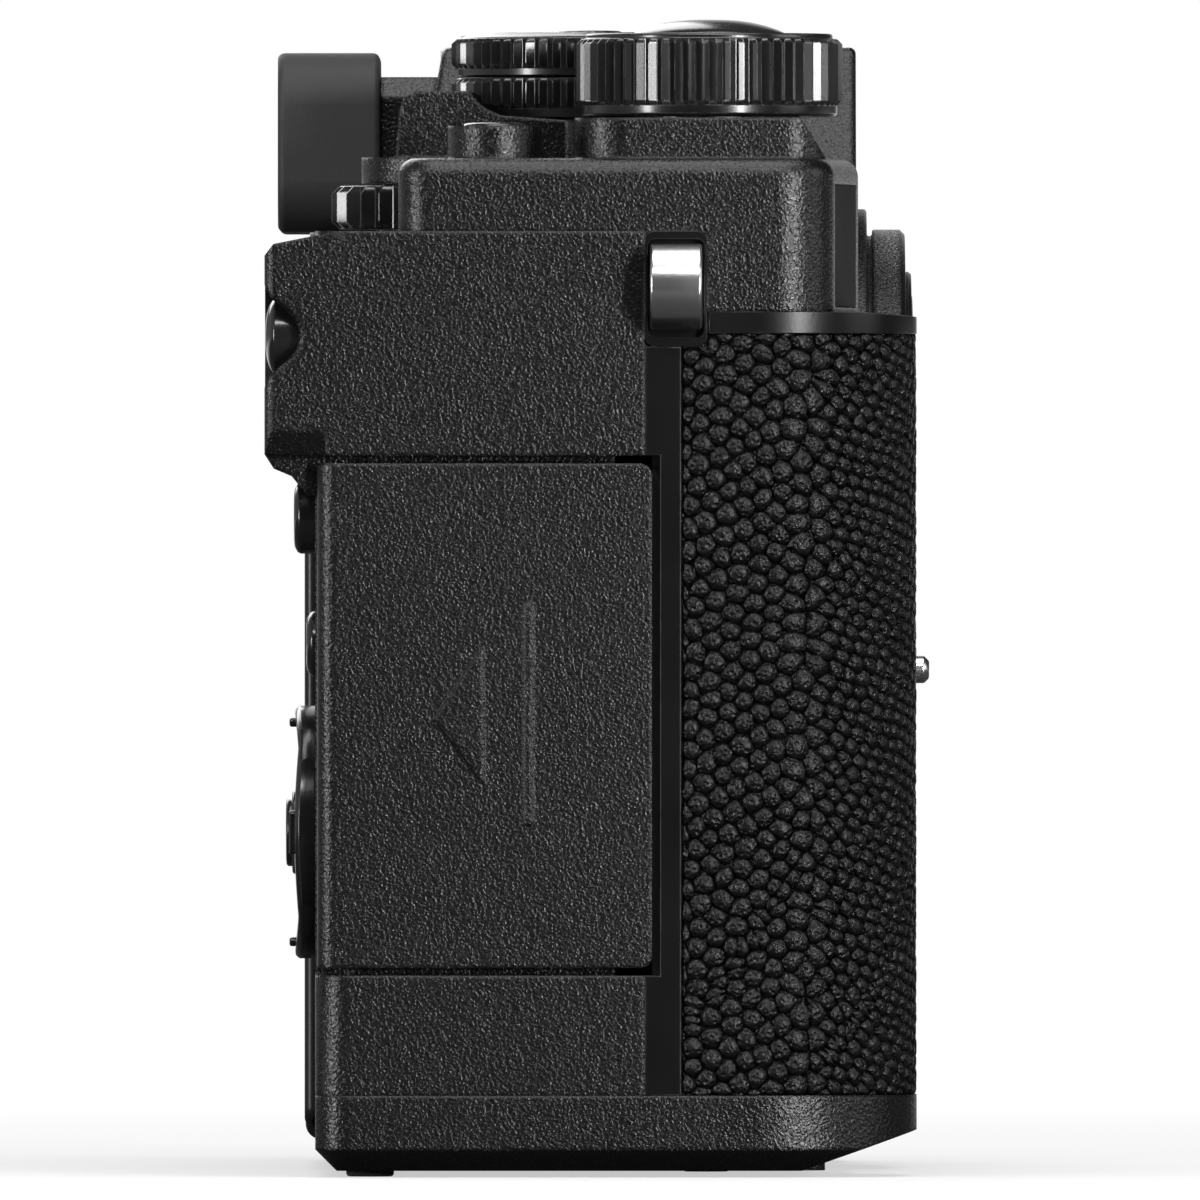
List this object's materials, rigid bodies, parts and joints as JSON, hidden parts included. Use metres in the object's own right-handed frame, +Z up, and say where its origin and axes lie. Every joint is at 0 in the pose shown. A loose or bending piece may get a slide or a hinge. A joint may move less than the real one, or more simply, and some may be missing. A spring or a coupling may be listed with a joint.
{
  "type": "mirrorless camera body",
  "caption": "Mirrorless camera body with an electronic finder hump, knurled dials, tilting monitor, hinged card and battery doors and an open bayonet lens mount.",
  "frame": {"origin": "mouth of the tripod socket, in the plane of the base, under the lens axis", "axes": "+Z up, -Y towards the subject along the lens axis, -X towards the hand grip end"},
  "size_m": [0.1472, 0.0518, 0.0893],
  "materials": {
    "cover_crinkle": "matte",
    "battery_case": "matte",
    "mount_steel": "polished",
    "board_green": "satin",
    "gold_contacts": "polished",
    "eyecup_rubber": "matte",
    "coated_glass": "gloss",
    "foot_rubber": "matte",
    "cover_casting": "matte",
    "dial_metal": "gloss",
    "shoe_steel": "satin",
    "leatherette": "matte",
    "bracket_steel": "satin",
    "monitor_black_glass": "gloss",
    "monitor_case": "matte",
    "collar_paint": "satin",
    "spring_steel": "satin",
    "black_gloss_metal": "gloss",
    "port_rubber": "matte",
    "socket_metal": "satin",
    "button_black": "gloss",
    "screw_steel": "satin",
    "sensor_frame": "satin",
    "blade_black": "matte",
    "inner_alloy": "satin",
    "lug_chrome": "polished",
    "black_plastic": "matte",
    "satin_trim": "satin"
  },
  "bodies": {
    "root": {"base_plate": "cover_crinkle", "battery": "battery_case", "battery_box": "black_plastic", "bayonet_ring": "mount_steel", "card_socket": "inner_alloy", "circuit_boards": "board_green", "contact_pins": "gold_contacts", "dial_hubs": "inner_alloy", "eyecup": "eyecup_rubber", "eyepiece_frame": "black_plastic", "eyepiece_lens": "coated_glass", "feet": "foot_rubber", "front_cover": "cover_casting", "hinge_pins": "screw_steel", "hot_shoe": "shoe_steel", "inner_frame": "inner_alloy", "leather_covering": "leatherette", "lug_seats": "black_plastic", "mount_collar": "collar_paint", "mount_spring": "spring_steel", "mount_trim_ring": "black_gloss_metal", "port_sockets": "socket_metal", "rear_cover": "cover_crinkle", "screws": "screw_steel", "shutter_frame": "black_plastic", "stabiliser_base": "inner_alloy", "strap_lugs": "lug_chrome", "throat_baffle": "black_plastic", "top_cover": "cover_crinkle", "trim_panels": "satin_trim", "tripod_socket": "screw_steel"},
    "front_dial": {"front_dial": "dial_metal"},
    "shutter_button": {"shutter_button": "dial_metal"},
    "mode_dial": {"mode_dial": "dial_metal"},
    "drive_ring": {"drive_ring": "dial_metal"},
    "rear_dial": {"rear_dial": "dial_metal"},
    "left_dial": {"left_dial": "dial_metal"},
    "power_lever": {"power_lever": "dial_metal"},
    "collar_button": {"collar_button": "button_black"},
    "thumb_button": {"thumb_button": "button_black"},
    "upper_button": {"upper_button": "button_black"},
    "lower_button": {"lower_button": "button_black"},
    "pad_carrier": {"pad_carrier": "black_plastic"},
    "four_way_pad": {"four_way_pad": "button_black"},
    "ok_button": {"ok_button": "button_black"},
    "card_slider": {"card_slider": "bracket_steel"},
    "card_door": {"card_door": "cover_crinkle"},
    "battery_door": {"battery_door": "cover_crinkle"},
    "battery_latch": {"battery_latch": "button_black"},
    "monitor_bracket": {"monitor_bracket": "bracket_steel"},
    "monitor": {"monitor_shell": "monitor_case", "monitor_glass": "monitor_black_glass"},
    "lens_release": {"release_button": "button_black", "lock_pin": "mount_steel"},
    "shutter_curtain": {"shutter_curtain": "blade_black"},
    "sideways_stage": {"sideways_stage": "inner_alloy"},
    "sensor_carrier": {"sensor_carrier": "sensor_frame", "sensor_glass": "coated_glass"},
    "port_cover": {"port_cover": "port_rubber"},
    "dioptre_dial": {"dioptre_dial": "dial_metal"}
  },
  "joints": [
    {"name": "front_dial_turn", "type": "hinge", "parent": "root", "child": "front_dial", "pos_m": [-0.058, -0.00728, 0.0845], "axis": [0, 0, 1], "continuous": true},
    {"name": "shutter_press", "type": "slide", "parent": "root", "child": "shutter_button", "axis": [0, 0, -1], "range_m": [0, 0.001], "stiffness_N_per_m": 300},
    {"name": "mode_dial_turn", "type": "hinge", "parent": "root", "child": "mode_dial", "pos_m": [-0.0366, 0.00208, 0.0865], "axis": [0, 0, 1], "continuous": true},
    {"name": "drive_ring_turn", "type": "hinge", "parent": "root", "child": "drive_ring", "pos_m": [-0.0366, 0.00208, 0.083], "axis": [0, 0, 1], "continuous": true},
    {"name": "rear_dial_turn", "type": "hinge", "parent": "root", "child": "rear_dial", "pos_m": [-0.055, 0.014, 0.0743], "axis": [0, 0, 1], "continuous": true},
    {"name": "left_dial_turn", "type": "hinge", "parent": "root", "child": "left_dial", "pos_m": [0.0445, -0.0015, 0.082], "axis": [0, 0, 1], "continuous": true},
    {"name": "power_lever_turn", "type": "hinge", "parent": "root", "child": "power_lever", "pos_m": [0.0445, -0.0015, 0.079], "axis": [0, 0, 1], "range_deg": [0, 40]},
    {"name": "collar_button_press", "type": "slide", "parent": "root", "child": "collar_button", "axis": [0, 0, -1], "range_m": [0, 0.0005], "stiffness_N_per_m": 300},
    {"name": "thumb_button_press", "type": "slide", "parent": "root", "child": "thumb_button", "axis": [0, -1, 0], "range_m": [0, 0.0005], "stiffness_N_per_m": 300},
    {"name": "upper_button_press", "type": "slide", "parent": "root", "child": "upper_button", "axis": [0, -1, 0], "range_m": [0, 0.0005], "stiffness_N_per_m": 300},
    {"name": "lower_button_press", "type": "slide", "parent": "root", "child": "lower_button", "axis": [0, -1, 0], "range_m": [0, 0.0005], "stiffness_N_per_m": 300},
    {"name": "pad_tilt_up_down", "type": "hinge", "parent": "root", "child": "pad_carrier", "pos_m": [-0.046, 0.0211, 0.026], "axis": [1, 0, 0], "range_deg": [-2, 2], "stiffness_Nm_per_rad": 0.2},
    {"name": "pad_tilt_left_right", "type": "hinge", "parent": "pad_carrier", "child": "four_way_pad", "pos_m": [-0.046, 0.0211, 0.026], "axis": [0, 0, 1], "range_deg": [-2, 2], "stiffness_Nm_per_rad": 0.2},
    {"name": "ok_press", "type": "slide", "parent": "root", "child": "ok_button", "axis": [0, -1, 0], "range_m": [0, 0.0005], "stiffness_N_per_m": 300},
    {"name": "card_door_slide", "type": "slide", "parent": "root", "child": "card_slider", "axis": [0, 1, 0], "range_m": [0, 0.003]},
    {"name": "card_door_swing", "type": "hinge", "parent": "card_slider", "child": "card_door", "pos_m": [-0.0741, 0.0219, 0.035], "axis": [0, 0, 1], "range_deg": [-110, 0]},
    {"name": "battery_door_swing", "type": "hinge", "parent": "root", "child": "battery_door", "pos_m": [-0.0336, -0.0088, 0.001], "axis": [0, 1, 0], "range_deg": [-95, 0]},
    {"name": "battery_latch_slide", "type": "slide", "parent": "battery_door", "child": "battery_latch", "axis": [1, 0, 0], "range_m": [0, 0.003]},
    {"name": "monitor_bracket_tilt", "type": "hinge", "parent": "root", "child": "monitor_bracket", "pos_m": [0.0205, 0.0226, 0.0582], "axis": [1, 0, 0], "range_deg": [0, 80]},
    {"name": "monitor_tilt", "type": "hinge", "parent": "monitor_bracket", "child": "monitor", "pos_m": [0.0205, 0.0229, 0.0031], "axis": [1, 0, 0], "range_deg": [-45, 0]},
    {"name": "lens_release_press", "type": "slide", "parent": "root", "child": "lens_release", "axis": [0, 1, 0], "range_m": [0, 0.0016], "stiffness_N_per_m": 400},
    {"name": "shutter_travel", "type": "slide", "parent": "root", "child": "shutter_curtain", "axis": [0, 0, 1], "range_m": [0, 0.0206]},
    {"name": "sensor_shift_sideways", "type": "slide", "parent": "root", "child": "sideways_stage", "axis": [1, 0, 0], "range_m": [-0.001, 0.001], "stiffness_N_per_m": 2000},
    {"name": "sensor_shift_upright", "type": "slide", "parent": "sideways_stage", "child": "sensor_carrier", "axis": [0, 0, 1], "range_m": [-0.001, 0.001], "stiffness_N_per_m": 2000},
    {"name": "port_cover_swing", "type": "hinge", "parent": "root", "child": "port_cover", "pos_m": [0.0632, -0.0002, 0.037], "axis": [0, 0, 1], "range_deg": [-110, 0]},
    {"name": "dioptre_turn", "type": "hinge", "parent": "root", "child": "dioptre_dial", "pos_m": [0.024, 0.008, 0.0822], "axis": [1, 0, 0], "range_deg": [-150, 150]}
  ]
}
